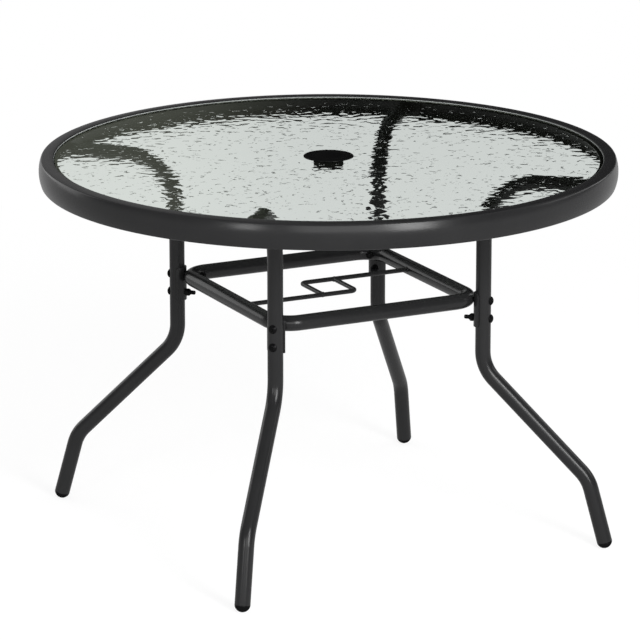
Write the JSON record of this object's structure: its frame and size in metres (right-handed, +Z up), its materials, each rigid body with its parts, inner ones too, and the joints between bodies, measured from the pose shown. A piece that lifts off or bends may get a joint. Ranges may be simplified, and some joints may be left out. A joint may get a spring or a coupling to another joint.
{
  "type": "umbrella table",
  "caption": "Round outdoor table: rolled steel rim with a patterned glass top, bent tube legs, a bolted square brace, and a plugged hole with guide rods for a parasol.",
  "frame": {"origin": "on the floor, straight under the middle of the table", "axes": "+Z up; the legs stand on the diagonals between X and Y; the brace's bars run along X and Y"},
  "size_m": [1.0668, 1.0668, 0.711],
  "materials": {
    "frame_coat": "satin charcoal powder coat",
    "patterned_glass": "tempered, with a rolled ripple on the underside",
    "seal_vinyl": "soft grey extruded vinyl",
    "black_plastic": "satin black moulded plastic",
    "black_fastener": "black oxide steel"
  },
  "bodies": {
    "frame": {"rim_frame": "frame_coat", "glass_top": "patterned_glass", "glass_seal": "seal_vinyl", "hole_ring": "black_plastic", "brace_ring": "frame_coat", "guide_rod_front": "frame_coat", "guide_rod_rear": "frame_coat", "upper_brace_bolts": "black_fastener", "lower_brace_bolts": "black_fastener", "upper_brace_nuts": "black_fastener", "lower_brace_nuts": "black_fastener", "socket_screws": "black_fastener", "leg_right": "frame_coat", "rim_socket_right": "frame_coat", "saddle_plate_right": "frame_coat", "foot_right": "black_plastic", "leg_back": "frame_coat", "rim_socket_back": "frame_coat", "saddle_plate_back": "frame_coat", "foot_back": "black_plastic", "leg_left": "frame_coat", "rim_socket_left": "frame_coat", "saddle_plate_left": "frame_coat", "foot_left": "black_plastic", "leg_front": "frame_coat", "rim_socket_front": "frame_coat", "saddle_plate_front": "frame_coat", "foot_front": "black_plastic"},
    "plug": {"hole_plug": "black_plastic"}
  },
  "joints": [
    {"name": "plug_lift", "type": "slide", "parent": "frame", "child": "plug", "axis": [0, 0, 1], "range_m": [0, 0.06]}
  ]
}
